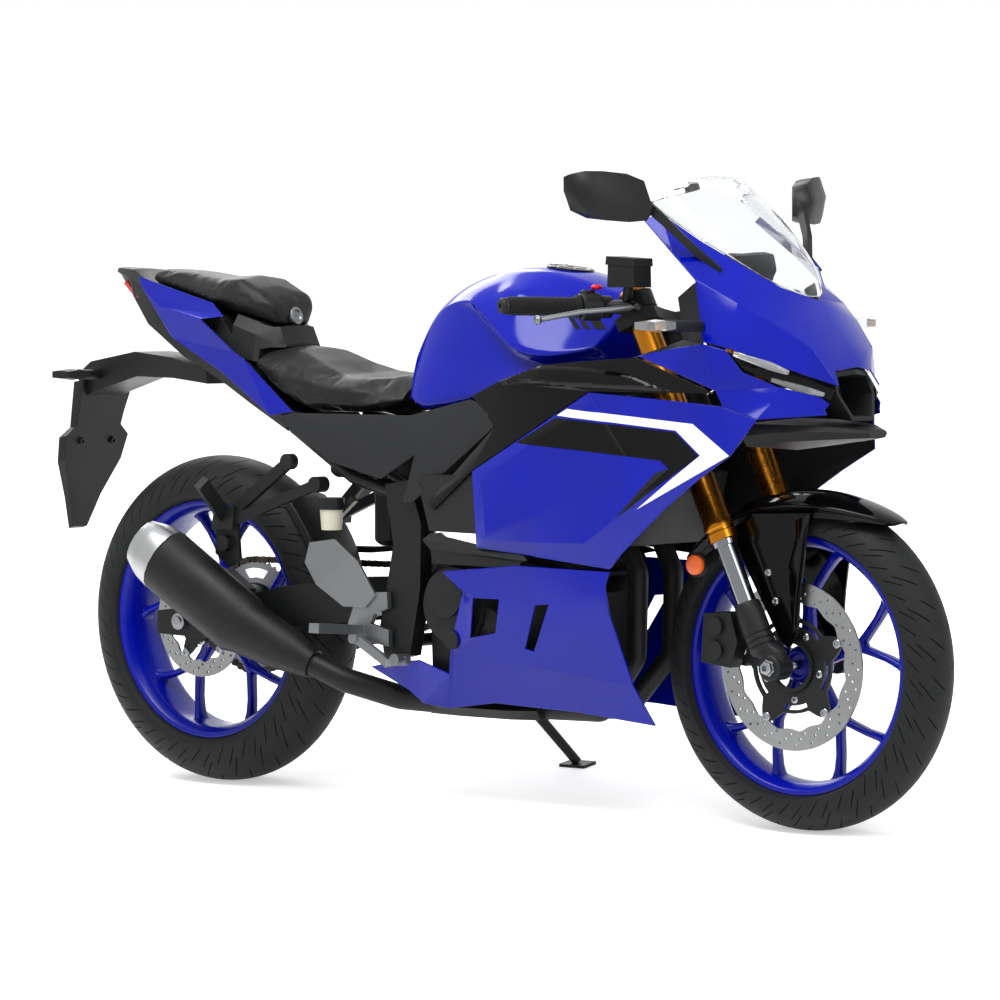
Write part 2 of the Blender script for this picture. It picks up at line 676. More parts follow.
def disc(name, node, body, x, radius, outer, band, w, carrier_in, bobbin_r, holes):
    """Drilled brake disc on a black five-arm carrier, with its bobbins and bolts, on the right side."""
    form = Form()

    def wheel_place(px, pw, pz):
        return (x + px, -pw, radius + pz)

    wave = [outer - band + rise for rise in (0, 0, 2.5, 5, 2.5)] * 15
    inner_edge = [(r * math.cos(2 * math.pi * k / 75), r * math.sin(2 * math.pi * k / 75)) for k,
                  r in enumerate(wave)]
    drilled = []
    for k in range(holes):
        a = 2 * math.pi * k / holes
        r = outer - band * (0.26, 0.52, 0.76)[k % 3]
        drilled.append(circle(2.7, 8, r * math.cos(a), r * math.sin(a)))
    form.plate(circle(outer, 110), w - 2.2, w + 2.2, 0, [inner_edge] + drilled, wheel_place)
    star = []
    for k in range(100):
        a = 2 * math.pi * k / 100
        lobe = max(0.0, math.cos(5 * (a - math.radians(FIRST_ARM)))) ** 1.5
        star.append(((bobbin_r - 22 + 29 * lobe) * math.cos(a), (bobbin_r - 22 + 29 * lobe) * math.sin(a)))
    windows = []
    for k in range(5):
        turns = [math.radians(FIRST_ARM + 36 + 72 * k + d) for d in (-20, -10, 0, 10, 20)]
        low_r, high_r = bobbin_r * 0.66, bobbin_r * 0.735
        windows.append([(high_r * math.cos(t), high_r * math.sin(t)) for t in turns]
                       + [(low_r * math.cos(t), low_r * math.sin(t)) for t in reversed(turns)])
    form.plate(star, w - 3.6, w + 2.6, 1, [circle(carrier_in, 60)] + windows, wheel_place)
    teeth = [((carrier_in + (9 if k % 2 else 5.5)) * math.cos(k * math.pi / 48),
              (carrier_in + (9 if k % 2 else 5.5)) * math.sin(k * math.pi / 48)) for k in range(96)]
    form.plate(teeth, w + 5, w + 8, 1, [circle(carrier_in, 60)], wheel_place)
    for k in range(5):
        a = math.radians(FIRST_ARM + 72 * k)
        px, pz = bobbin_r * math.cos(a), bobbin_r * math.sin(a)
        form.turned((x + px, -w + 4, radius + pz), (x + px, -w - 6, radius + pz),
                    [(0, 8), (9, 8), (10, 6.8), (10.2, 4.4), (8.6, 4.2)], 2, 20)
        b = math.radians(FIRST_ARM + 36 + 72 * k)
        px, pz = bobbin_r * 0.56 * math.cos(b), bobbin_r * 0.56 * math.sin(b)
        form.dome_bolt((x + px, -w - 2, radius + pz), (0, -1, 0), 7.0, 2)
    return form.put(name, body, [ground_steel, cast_black, zinc_bolt], (node,), sharp=30)


def rear_sprocket():
    """Toothed steel ring on an open alloy carrier."""
    form = Form()
    teeth = []
    for k in range(43 * 4):
        a = 2 * math.pi * k / (43 * 4)
        r = 108.5 - (7.0, 3.4, 0.0, 3.4)[k % 4]
        teeth.append((r * math.cos(a), r * math.sin(a)))
    windows = []
    for k in range(6):
        a0 = math.radians(60 * k + 10)
        ring = [(92 * math.cos(a0 + t), 92 * math.sin(a0 + t)) for t in (0.0, 0.22, 0.45, 0.68)]
        ring += [(74 * math.cos(a0 + t), 74 * math.sin(a0 + t)) for t in (0.6, 0.34, 0.08)]
        windows.append(ring)
    form.plate(teeth, 85.8, 90.2, 0, [circle(60, 48)] + windows, lambda px, w, pz: (px, w, REAR_R + pz))
    form.turned((0, 50, REAR_R), (0, 92, REAR_R), [(0, 50), (30, 62), (41, 64), (42, 34), (20, 30)], 1, 60)
    for k in range(6):
        a = math.radians(60 * k)
        form.dome_bolt((52 * math.cos(a), 91, REAR_R + 52 * math.sin(a)), (0, 1, 0), 7, 2)
    return form.put("rear_sprocket_ring", "rear_wheel", [ground_steel, cast_black, zinc_bolt], ("rear_sprocket",))


RIM_R = 229  # of a 17-inch rim's edge
WHEELS = [  # end, axle x, tyre radius, crown radius, half rim width, half hub width, hub radius,
    # and the brake's outer radius, band width, place across the bike, carrier bore, bobbin circle and hole count
    ("front", WHEELBASE, FRONT_R, 55, 42, 38, 34, (149, 38, 52, 40, 106, 75)),
    ("rear", 0, REAR_R, 70, 58, 50, 50, (110, 32, 70, 34, 74, 54)),
]


class AddWheels(bpy.types.Operator):
    """Makes both tyres, cast wheels, brake discs and the sprocket"""
    bl_idname = "sport_bike.wheels"
    bl_label = "Wheels"

    def execute(self, context):
        for end, x, radius, crown, lip, *_ in WHEELS:
            tyre(f"{end}_tyre_rubber", f"{end}_tyre", f"{end}_wheel", x, radius, crown, lip, RIM_R)
        for end, x, radius, _, lip, hub_half, hub_r, _ in WHEELS:
            rim(f"{end}_cast_wheel", f"{end}_rim", f"{end}_wheel", x, radius, lip, hub_half, hub_r, RIM_R)
        for end, x, radius, *_, brake in WHEELS:
            disc(f"{end}_brake_disc", f"{end}_disc", f"{end}_wheel", x, radius, *brake)
        rear_sprocket()
        return {"FINISHED"}


# Fork and controls

def fork(side):
    """Gold upper tube, chrome slider and dust seal of one fork leg."""
    form = Form()
    w = side * FORK_SPREAD
    low, high = fork_point(FORK_JOIN_Z, w), fork_point(FORK_TOP_Z, w)
    length = (Vector(high) - Vector(low)).length
    form.turned(low, high, [(0, 24), (1.5, 26.8), (16, 26.8), (18, 25.4), (22, 25.4), (24, 26.8), (34, 26.8),
                            (37, 25), (length - 3, 25),
                            (length, 23), (length + 4, 12), (length + 2, 8)], 0, 48)
    foot = fork_point(400, w)
    down = (Vector(low) - Vector(foot)).length
    form.turned(foot, low, [(-6, 17.8), (down - 9, 17.8), (down - 9, 22.5), (down + 1, 23.5), (down + 2, 20)], 1, 40)
    form.turned(fork_point(FORK_JOIN_Z + 1, w), fork_point(FORK_JOIN_Z - 8, w),
                [(0, 20), (0.5, 23.4), (7, 22.4), (9, 18.4)], 2, 40)
    return form.put(f"fork_upper_{'right' if side < 0 else 'left'}", "steering",
                    [gold_anodising, hard_chrome, soft_rubber],
                    ("fork_tubes",))


def fork_foot(side):
    """Cast foot of one fork leg with its bands, and the clamp that carries the axle."""
    form = Form()
    w = side * FORK_SPREAD
    top, bottom = fork_point(402, w), fork_point(316, w)
    length = (Vector(top) - Vector(bottom)).length
    profile = [(0, 19), (4, 23)]
    for t in (14, 25, 36):
        profile += [(t - 4, 24.6), (t - 1.6, 24.6), (t - 1.2, 22.6), (t + 1.2, 22.6), (t + 1.6, 24.6)]
    profile += [(length - 26, 24.6), (length - 18, 24.0), (length - 4, 23.4), (length, 21.8), (length + 0.5, 18.6),
                (length - 3, 18.4)]
    form.turned(bottom, top, profile, 0, 40)
    neck = [fork_point(344, w), fork_point(326, w), (WHEELBASE + 2, w, FRONT_R + 18), (WHEELBASE, w, FRONT_R)]
    form.loft(bar_loops(neck, [(40, 40), (36, 40), (32, 44), (28, 46)]))
    form.turned((WHEELBASE, w - side * 24, FRONT_R), (WHEELBASE, w + side * 24, FRONT_R),
                [(0, 20), (2, 23), (43, 23), (46, 20), (46.5, 12)], 0, 40)
    form.dome_bolt((WHEELBASE - 24, w + side * 6, FRONT_R - 10), (-1, 0, -0.4), 5, 1)
    return form.put(f"fork_foot_{'right' if side < 0 else 'left'}", "steering", [cast_black, zinc_bolt],
                    ("fork_legs",))


class AddFork(bpy.types.Operator):
    """Makes the fork's tubes, sliders and feet, its bridges and the axle"""
    bl_idname = "sport_bike.fork"
    bl_label = "Fork"

    def execute(self, context):
        for side in (RIGHT, LEFT):
            fork(side)
            fork_foot(side)
        dressed("steering_stem", [cast_black])
        axle = Form()
        for side in (RIGHT, LEFT):
            axle.turned((WHEELBASE, side * 124.5, FRONT_R), (WHEELBASE, side * 140, FRONT_R),
                        [(0, 15), (2, 15), (2.2, 12.5), (9, 12.5), (10.5, 11), (11, 6.2), (5, 6)], 0, 6)
        axle.rod((WHEELBASE, -124, FRONT_R), (WHEELBASE, 124, FRONT_R), 8.5)
        axle.put("front_axle_bar", "steering", [zinc_bolt], ("front_axle",))
        return {"FINISHED"}


MUDGUARD_ROWS = [  # degrees round the wheel, height over the tyre, half width, skirt depth
    (52, 31, 16, 6), (54, 29.5, 30, 13), (58, 27, 43, 20), (66, 22, 58, 34), (78, 19, 64, 49), (92, 18, 66, 55),
    (108, 18, 66, 55),
    (126, 17, 62, 50), (140, 16, 57, 40), (142, 16, 56, 38),
]
MUDGUARD_LEG = [(1263, 514), (1306, 558), (1430, 562), (1422, 520), (1409, 420), (1403, 347), (1384, 323),
                (1367, 337), (1323, 410), (1291, 464)]


def guard_row(x, z, r, half, depth, degrees):
    """Section of a mudguard from its right skirt over the crown to its left skirt."""
    a = math.radians(degrees)
    side = [(r - depth, -half - 1), (r - depth * 0.45, -half), (r - depth * 0.12, -half * 0.62),
            (r - depth * 0.02, -half * 0.3)]
    line = side + [(r, 0)] + [(rr, -w) for rr, w in reversed(side)]
    return [Vector((x + rr * math.cos(a), w, z + rr * math.sin(a))) for rr, w in line]


def sheet_loops(rows, thick, centre):
    """Closed loops round a curved sheet: its outer rows and the same rows moved towards a centre line."""
    loops = []
    for row in rows:
        inner = [p + (Vector((centre[0], p.y, centre[1])) - p).normalized() * thick for p in row]
        loops.append(list(row) + inner[::-1])
    return loops


class AddMudguards(bpy.types.Operator):
    """Makes the front mudguard with its legs, the hugger and the chain guard"""
    bl_idname = "sport_bike.mudguards"
    bl_label = "Mudguards"

    def execute(self, context):
        form = Form()
        rows = [guard_row(WHEELBASE, FRONT_R, FRONT_R + up, half, depth, degrees) for degrees, up, half,
                depth in MUDGUARD_ROWS]
        form.loft(sheet_loops(rows, 2.6, (WHEELBASE, FRONT_R)))
        form.put("front_mudguard_blade", "steering", [black_lacquer], ("front_mudguard",), levels=2,
                 creases=(50, 0.75))
        legs = Form()
        legs.plate(MUDGUARD_LEG, -66, -70)
        fold = [(1398, 548), (1400, 520), (1384, 470), (1388, 400), (1394, 348)]
        front = [(1430, 560), (1421, 520), (1408, 420), (1402, 352), (1396, 342)]
        legs.loft([[(fx, -70, fz), (gx, -70, gz), (gx - 3, -77, gz), (fx + 8, -74.5, fz)]
                   for (fx, fz), (gx, gz) in zip(fold, [front[0], front[1], (1415, 470), front[2], front[3]])])
        for x, z in ((1340, 455), (1356, 406)):
            legs.dome_bolt((x, -71, z), (0, -1, 0), 7.5, 1)
        legs.mirrored().put("front_mudguard_legs", "steering", [black_lacquer, zinc_bolt], slot="gloss_black",
                            soft_mm=0.8)
        hugger = Form()
        rows = [guard_row(0, REAR_R, REAR_R + 12, half, 18, degrees) for degrees,
                half in ((14, 56), (26, 62), (38, 62), (50, 56))]
        hugger.loft(sheet_loops(rows, 2.6, (0, REAR_R)))
        hugger.put("hugger", "chassis", [black_plastic], ("rear_guards",), levels=2, creases=(50, 0.7))
        guard = Form()
        guard.plate([(60, 442), (300, 446), (470, 462), (470, 472), (300, 458), (50, 456)], 80, 104)
        guard.put("chain_guard", "chassis", [black_plastic], slot="trim_black", soft_mm=2)
        return {"FINISHED"}


class AddControls(bpy.types.Operator):
    """Makes the bars, grips, switches, levers and the front brake's reservoir"""
    bl_idname = "sport_bike.controls"
    bl_label = "Controls"

    def execute(self, context):
        bar_in, bar_out = Vector((1074, 118, 918)), Vector((960, 345, 921))

        def along(t, lift=0.0, forward=0.0):
            return bar_in + (bar_out - bar_in) * t + Vector((forward, 0, lift))

        span = (bar_out - bar_in).length
        grips = Form()
        flange, ribs, rib_pitch = span * 0.40, 26, span * 0.0188
        profile = [(flange, 15), (flange + 1, 21), (flange + 5, 21.5), (flange + 7, 17)]
        for k in range(ribs):
            t = span * 0.44 + rib_pitch * k
            profile += [(t, 16.8), (t + 1.6, 16.8), (t + 2.2, 15.6), (t + 3.6, 15.6)]
        profile += [(span * 0.935, 16.8), (span * 0.94, 15)]
        grips.turned(along(0), along(1), profile, 0, 32)
        weight = [(span * 0.945, 12), (span * 0.946, 14.4), (span * 0.985, 14.4), (span, 12), (span, 5),
                  (span - 6, 5)]
        grips.turned(along(0), along(1), weight, 1, 32)
        grips.mirrored().put("ribbed_grips", "steering", [soft_rubber, cast_black], ("grips",))
        dressed("handlebars", [frame_paint])
        boxes = Form()
        for low, high, r in ((0.24, 0.395, 25), (0.15, 0.24, 20)):
            wide = span * (high - low)
            boxes.turned(along(low), along(high), [(0, r - 4), (3, r), (wide - 3, r), (wide, r - 4)], 0, 28)
        boxes.loft(bar_loops([along(0.17, 0, 10), along(0.17, 0, 34), along(0.18, 0, 58)],
                             [(36, 24), (32, 26), (26, 20)]))
        boxes.block(along(0.27, 12, -16), along(0.33, 30, 8) + Vector((0, 14, 0)), 0, 3)
        lever = [(0.15, 0, 58), (0.26, -1, 72), (0.42, -5, 76), (0.62, -10, 67), (0.92, -24, 62)]
        boxes.loft(bar_loops([along(*p) for p in lever], [(13, 11), (15, 10), (14, 9), (12, 9), (11, 9)]), 1)
        boxes.turned(along(0.90, -24, 62), along(0.97, -25, 62), [(0, 3), (1.5, 7), (6, 9), (11, 7), (13, 3)], 1, 24)
        boxes.mirrored().put("switches_and_levers", "steering", [black_plastic, bead_blasted_alloy],
                             ("hand_controls",))
        cup = Form()
        cx, cw, cz = 1108, 168, 965
        outline = [(cx - 29, cz - 12), (cx + 31, cz - 12), (cx + 30, cz + 26), (cx - 28, cz + 30)]
        lid = [(cx - 32, cz + 28), (cx + 33, cz + 25), (cx + 32, cz + 39), (cx - 30, cz + 43)]
        cup.plate(outline, -cw - 25, -cw + 25)
        cup.plate(lid, -cw - 27, -cw + 27)
        clamp = along(0.17, 8, 40)
        cup.rod((clamp.x, -clamp.y, clamp.z), (cx, -cw, cz - 8), 9)
        cup.put("front_brake_reservoir", "steering", [black_plastic], slot="control_black", soft_mm=3)
        switch = Form()
        spot = along(0.27, 30, 2)
        switch.block((spot.x - 9, -spot.y - 8, spot.z), (spot.x + 9, -spot.y + 8, spot.z + 9), 0, 3)
        switch.put("stop_switch", "steering", [red_switch], slot="control_black")
        return {"FINISHED"}


# Tank and seats

TANK = [  # x, then (half width, height): top, ridge, shoulder, crest, recess, side, lower side, bottom
    (556, [(0, 862), (38, 860), (66, 850), (84, 832), (88, 826), (98, 800), (104, 770), (108, 748)]),
    (566, [(0, 890), (40, 886), (70, 873), (88, 846), (91, 838), (100, 808), (108, 778), (116, 742)]),
    (600, [(0, 938), (48, 932), (78, 914), (90, 903), (93, 892), (104, 850), (116, 800), (126, 728)]),
    (660, [(0, 970), (56, 964), (92, 945), (110, 927), (111, 915), (116, 870), (126, 800), (136, 734)]),
    (719, [(0, 986), (62, 980), (106, 953), (130, 927), (123, 912), (124, 868), (132, 806), (140, 742)]),
    (770, [(0, 992), (66, 985), (118, 950), (150, 894), (132, 880), (130, 850), (138, 805), (148, 762)]),
    (815, [(0, 992), (68, 985), (126, 946), (166, 860), (139, 850), (136, 836), (140, 812), (150, 782)]),
    (850, [(0, 991), (70, 983), (130, 938), (173, 840), (148, 832), (143, 822), (146, 806), (156, 790)]),
    (910, [(0, 980), (64, 970), (120, 922), (174, 828), (152, 822), (147, 815), (149, 808), (158, 798)]),
    (975, [(0, 958), (48, 946), (92, 900), (160, 836), (138, 830), (128, 823), (128, 816), (130, 806)]),
    (1005, [(0, 942), (34, 932), (66, 890), (134, 846), (114, 840), (102, 830), (98, 822), (98, 812)]),
]


LOUVRE_X, LOUVRE_PITCH = 924.0, 15.0


class AddTank(bpy.types.Operator):
    """Makes the fuel tank with its filler"""
    bl_idname = "sport_bike.tank"
    bl_label = "Tank"

    def execute(self, context):
        form = Form()
        form.loft(halves(TANK))
        tank = form.put("tank_shell", "chassis", [blue_lacquer], ("fuel_tank",), levels=3, creases=(26, 0.55))
        for side, tag in ((RIGHT, "right"), (LEFT, "left")):
            for k in range(4):
                x = LOUVRE_X + LOUVRE_PITCH * k
                low = (x + 36, 878) if k < 3 else (x + 26, 878)
                high = (x, 908) if k < 3 else (x + 8, 894)
                slot = [high, (high[0] + 7, high[1]), (low[0] + 4, low[1]), (low[0] - 5, low[1])]
                film(f"tank_louvre_{tag}_{k + 1}", slot, tank, side, dark_cavity, 0.5, 3.0)
        cap = Form()
        way = Vector((0.14, 0, 0.99))
        spot = Vector((846, 0, 984))
        cap.turned(spot, spot + way, [(0, 44), (4, 44), (5.5, 42), (5.5, 34), (4.4, 33), (4.4, 26), (6, 25),
                                      (6.4, 8), (5, 7)], 0, 48)
        for k in range(6):
            a = math.radians(60 * k + 20)
            cap.dome_bolt(spot + Vector((38 * math.cos(a), 38 * math.sin(a), 4 - 5.3 * math.cos(a))), way, 3.4, 1)
        cap.put("filler_cap", "chassis", [black_lacquer, zinc_bolt], slot="tank_blue")
        return {"FINISHED"}


def cushion(name, node, swell_share=1.0, voxel_mm=5.0):
    """A padded seat: the plain solid shrunk a little, blown up as cloth, then smoothed."""
    mesh = frame["nodes"][node].data.copy()
    low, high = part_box(node)
    middle = (low + high) / 2
    shrink = 4 * MM
    for vertex in mesh.vertices:
        out = vertex.co - middle
        vertex.co -= Vector([math.copysign(min(shrink, abs(out[k])), out[k]) for k in range(3)])
    piece = bpy.data.objects.new(name, mesh)
    bpy.context.scene.collection.objects.link(piece)
    bpy.context.view_layer.objects.active = piece
    remesh = piece.modifiers.new("even skin", "REMESH")
    remesh.mode, remesh.voxel_size = "VOXEL", voxel_mm * MM
    apply_modifiers(piece)
    soften = piece.modifiers.new("soft edges", "SMOOTH")
    soften.factor, soften.iterations = 0.5, 8
    apply_modifiers(piece)
    rest = [vertex.co.copy() for vertex in piece.data.vertices]
    cloth = piece.modifiers.new("cover", "CLOTH")
    cloth.settings.use_pressure = True
    cloth.settings.uniform_pressure_force = 4.0
    cloth.settings.effector_weights.gravity = 0.0
    cloth.settings.quality = 4
    cloth.point_cache.frame_start, cloth.point_cache.frame_end = 1, 20
    for step in range(1, 21):
        bpy.context.scene.frame_set(step)
    apply_modifiers(piece)
    bpy.context.scene.frame_set(1)
    cap = settings().seat_swell * swell_share
    for vertex, home in zip(piece.data.vertices, rest):
        moved = vertex.co - home
        if moved.length > cap:
            vertex.co = home + moved * (cap / moved.length)
    piece.data.materials.clear()
    piece.data.materials.append(finish(vinyl))
    piece.data.shade_smooth()
    rounding = piece.modifiers.new("rounding", "SUBSURF")
    rounding.levels = rounding.render_levels = 1
    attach(piece, "chassis")
    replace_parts(piece, node)
    return piece


def apply_modifiers(piece):
    """Keeps the shape that the modifiers give and takes them off."""
    shape = bpy.data.meshes.new_from_object(piece.evaluated_get(bpy.context.evaluated_depsgraph_get()))
    piece.modifiers.clear()
    piece.data = shape


class AddSeats(bpy.types.Operator):
    """Makes both padded seats, their lock and the support between them"""
    bl_idname = "sport_bike.seats"
    bl_label = "Seats"

    def execute(self, context):
        cushion("rider_cushion", "rider_seat")
        cushion("pillion_cushion", "pillion_seat", 0.6)
        dressed("seat_bridge", [black_plastic])
        lock = Form()
        spot, way = Vector((180, 0, 897)), Vector((0.98, 0, 0.2))
        lock.turned(spot - way * 6, spot + way,
                    [(0, 17), (10, 17), (11.5, 15), (11.5, 11.5), (9.5, 10.5), (8, 9), (8, 2), (5, 1.6)], 0, 40)
        lock.put("seat_lock", "chassis", [bead_blasted_alloy], slot="trim_black")
        return {"FINISHED"}


# Bodywork

# Outlines (x, z) seen from the side
STRIPE = [(965, 726), (988, 738), (1279, 717), (1365, 664), (1155, 565), (1300, 663), (1242, 705)]
SLIVER = [(1108, 548), (1200, 630), (1229, 638), (1150, 572)]
TRIM_INSERT = [(820, 778), (862, 804), (905, 812), (957, 814), (1040, 811), (1136, 800), (1229, 771), (1150, 774),
               (1030, 777)]
BAND = [(869, 675), (963, 722), (1241, 702), (1297, 661), (1108, 548), (1229, 638), (1210, 652)]


def to_edge(p, outline):
    """Distance from a point to the nearest side of an outline."""
    best = 1e9
    for (x0, z0), (x1, z1) in zip(outline, outline[1:] + outline[:1]):
        way = Vector((x1 - x0, z1 - z0))
        t = min(max((Vector((p.x - x0, p.y - z0))).dot(way) / way.length_squared, 0), 1)
        best = min(best, (Vector((p.x - x0, p.y - z0)) - way * t).length)
    return best


def film(name, outline, target, side, maker, lift_mm=0.5, step_mm=4.0, swell_mm=0.0):
    """A thin skin laid on the outside of a panel: its outline is (x, z) seen from the side."""
    graph = bpy.context.evaluated_depsgraph_get()
    tree = BVHTree.FromObject(target.evaluated_get(graph), graph)
    edge = []
    for (x0, z0), (x1, z1) in zip(outline, outline[1:] + outline[:1]):
        count = max(1, int(math.hypot(x1 - x0, z1 - z0) / step_mm))
        edge += [(x0 + (x1 - x0) * k / count, z0 + (z1 - z0) * k / count) for k in range(count)]
    xs, zs = [p[0] for p in outline], [p[1] for p in outline]
    inner = []
    for i in range(int((max(xs) - min(xs)) / step_mm)):
        for j in range(int((max(zs) - min(zs)) / step_mm)):
            inner.append((min(xs) + (i + 0.5) * step_mm, min(zs) + (j + 0.5) * step_mm))
    flat = [Vector(p) for p in edge + inner]
    edges = [(i, (i + 1) % len(edge)) for i in range(len(edge))]
    points, _, triangles, *_ = delaunay_2d_cdt(flat, edges, [], 1, 1e-4)
    inward = (PARK.to_3x3() @ Vector((0, -side, 0))).normalized()
    skin = []
    for p in points:
        hit, normal, _, _ = tree.ray_cast(PARK @ Vector((p.x, side * 420, p.y)), inward)
        lift = lift_mm + swell_mm * math.sin(min(to_edge(p, outline) / 9.0, 1) * math.pi / 2)
        skin.append(None if hit is None else hit + normal * lift * MM)
    kept = [t for t in triangles if all(skin[i] is not None for i in t)]
    index = {old: new for new, old in enumerate(sorted({i for t in kept for i in t}))}
    mesh = bpy.data.meshes.new(name)
    mesh.from_pydata([skin[i] for i in index], [], [[index[i] for i in t] for t in kept])
    return mesh_piece(mesh, name, BODY_OF[target["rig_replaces"][0]], [maker], sharp=20)


class AddFairing(bpy.types.Operator):
    """Dresses the bodywork, and paints the stripe and the black band on the side fairings"""
    bl_idname = "sport_bike.fairing"
    bl_label = "Fairing"

    def execute(self, context):
        for node in ("nose_cowl", "cowl_blades", "lower_cowls", "tail_cowls"):
            dressed(node, [blue_lacquer])

        def livery(p, out):
            if out < 0.3:
                return 3 if out < -0.3 else 0
            if inside(p.x, p.z, STRIPE):
                return 1
            if inside(p.x, p.z, BAND):
                return 2
            return 3 if inside(p.x, p.z, SLIVER) else 0

        dressed("side_fairings", [blue_lacquer, white_film, black_film, black_plastic], zone=livery,
                cuts=(STRIPE, BAND, SLIVER))
        trims = dressed("upper_trims", [black_lacquer])
        for side, tag in ((RIGHT, "right"), (LEFT, "left")):
            film(f"trim_insert_{tag}", TRIM_INSERT, trims, side, black_lacquer, 0.4, swell_mm=5.0)
        dressed("side_covers", [grained_plastic])
        for node in ("cowl_inners", "engine_side_panels", "tail_centre"):
            dressed(node, [black_plastic])
        return {"FINISHED"}


SCREEN = [  # x and z of the middle line, half width, x and z of the side edge
    (1394, 934, 10, 1391, 936), (1380, 953, 44, 1374, 948), (1364, 973, 70, 1352, 962), (1332, 1010, 106, 1306, 998),
    (1288, 1060, 130, 1238, 1038), (1240, 1106, 140, 1184, 1072), (1202, 1138, 142, 1149, 1094),
    (1186, 1151, 142, 1136, 1103),
]


class AddScreen(bpy.types.Operator):
    """Makes the windscreen, the instrument and the stay behind the nose"""
    bl_idname = "sport_bike.screen"
    bl_label = "Windscreen"

    def execute(self, context):
        form = Form()
        loops = []
        for x, z, w, ex, ez in SCREEN:
            row = []
            for k in range(-4, 5):
                t = k / 4
                bow = t * t
                row.append(Vector((x + (ex - x) * bow, w * math.sin(t * math.pi / 2), z + (ez - z) * bow)))
            loops.append(row + [p + Vector((-2.2, 0, -2.0)) for p in reversed(row)])
        form.loft(loops)
        form.put("clear_windscreen", "chassis", [clear_screen], ("windscreen",), levels=2, creases=(50, 1.0))
        dressed("instrument", [black_plastic])
        dressed("cowl_stay", [frame_paint])
        return {"FINISHED"}


class AddLamps(bpy.types.Operator):
    """Makes the head, tail and turn lamps, the nose intake and the reflectors"""
    bl_idname = "sport_bike.lamps"
    bl_label = "Lamps"

    def execute(self, context):
        dressed("headlamps", [black_lacquer])
        bars = Form()
        for line, size in ((((1352, 190, 839), (1398, 145, 818), (1420, 122, 806)), 15),
                           (((1396, 140, 794), (1436, 103, 777), (1466, 80, 768)), 15)):
            bars.loft(bar_loops([(x, -w, z) for x, w, z in line], [(5, size * 0.5), (7, size), (5, size * 0.5)]))
        bars.mirrored().put("lamp_light_bars", "chassis", [clear_lens], slot="lamp_clear")
        dressed("nose_intake", [black_plastic])
        dressed("tail_lamp", [red_lens])
        for node, maker in (("front_signals", clear_lens), ("rear_signals", black_plastic)):
            dressed(node, [maker, black_plastic], zone=lambda p, out: 0 if abs(p.y) > 274 else 1)
        spots = Form()
        spots.turned((1213, -108, 466), (1213, -120, 466), [(0, 18), (7, 18), (9, 17), (11, 10), (11.5, 0.5)], 0, 36)
        spots.turned((1213, -104, 466), (1213, -112, 466), [(0, 22), (6, 22), (6.5, 19)], 1, 36)
        spots.mirrored().put("fork_reflectors", "steering", [amber_lens, black_plastic], slot="lamp_clear")
        return {"FINISHED"}


class AddMirrors(bpy.types.Operator):
    """Dresses the mirrors"""
    bl_idname = "sport_bike.mirrors"
    bl_label = "Mirrors"

    def execute(self, context):
        dressed("mirrors", [black_plastic], sharp=50)
        return {"FINISHED"}


# Frame, engine and running gear

CUP_LID_Z, CUP_STAY_W = 539, 120  # the cup is milky below its lid and outside its stay
BEHIND_PANELS = [  # opposite corners: airbox, battery tray, linkage housing
    ((600, -92, 560), (764, 92, 722), 14),
    ((330, -82, 596), (562, 82, 694), 10),
    ((420, -60, 470), (470, 60, 600), 10),
]


class AddChassis(bpy.types.Operator):
    """Dresses the frame, swingarm, stand, footrests, calipers and plate hanger, and fills in behind the panels"""
    bl_idname = "sport_bike.chassis"
    bl_label = "Chassis"

    def execute(self, context):
        for node in ("main_frame", "swingarm", "stand_bracket", "side_stand"):
            dressed(node, [frame_paint], sharp=30)
        dressed("plate_hanger", [black_plastic])
        boxes = Form()
        for low, high, soft in BEHIND_PANELS:
            boxes.block(low, high, soft=soft)
        boxes.put("airbox_and_battery_tray", "chassis", [black_plastic], slot="trim_black", soft_mm=4)
        dressed("rear_axle", [zinc_bolt])
        dressed("rider_footrests", [bead_blasted_alloy])
        dressed("pillion_footrests", [cast_black])
        dressed("brake_fluid_cup", [milky_cup, black_plastic],
                zone=lambda p, out: 1 if p.z > CUP_LID_Z or abs(p.y) < CUP_STAY_W else 0)
        dressed("rear_caliper", [cast_black])
        dressed("front_caliper", [cast_black])
        return {"FINISHED"}


CHAIN_PITCH = 15.875  # five eighths of an inch
CHAIN_W = 88.0
CHAIN_REAR_R, CHAIN_FRONT_R = 108.7, 35.7
FRONT_SPROCKET = (612.0, 392.0)


